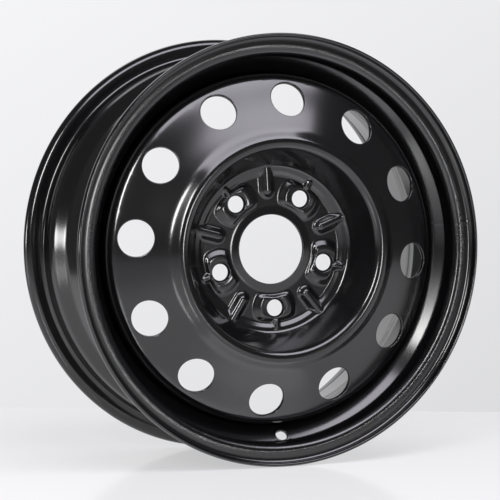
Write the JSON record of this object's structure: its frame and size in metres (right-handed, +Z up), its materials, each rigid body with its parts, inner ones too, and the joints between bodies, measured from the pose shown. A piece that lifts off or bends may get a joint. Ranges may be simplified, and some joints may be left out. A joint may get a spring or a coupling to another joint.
{
  "type": "steel wheel",
  "caption": "Gloss black steel road wheel: a rolled drop-centre rim and a pressed disc with round vents, ribbed hub plate, conical lug seats, centre bore and valve hole.",
  "frame": {"origin": "centre of the wheel: on the axle line, midway between the two rim flanges", "axes": "+Y along the axle towards the hub (inboard), -Y towards the outside of the car, +Z up, +X to the right as seen from outside"},
  "size_m": [0.4152, 0.1755, 0.415],
  "materials": {
    "rim_paint": "gloss black paint on rolled steel sheet",
    "disc_paint": "gloss black paint on pressed steel sheet",
    "bead_paint": "gloss black paint over weld metal"
  },
  "bodies": {
    "root": {"rim": "rim_paint", "disc": "disc_paint", "weld_bead_01": "bead_paint", "weld_bead_02": "bead_paint", "weld_bead_03": "bead_paint", "weld_bead_04": "bead_paint", "weld_bead_05": "bead_paint", "weld_bead_06": "bead_paint", "weld_bead_07": "bead_paint", "weld_bead_08": "bead_paint"}
  },
  "joints": []
}
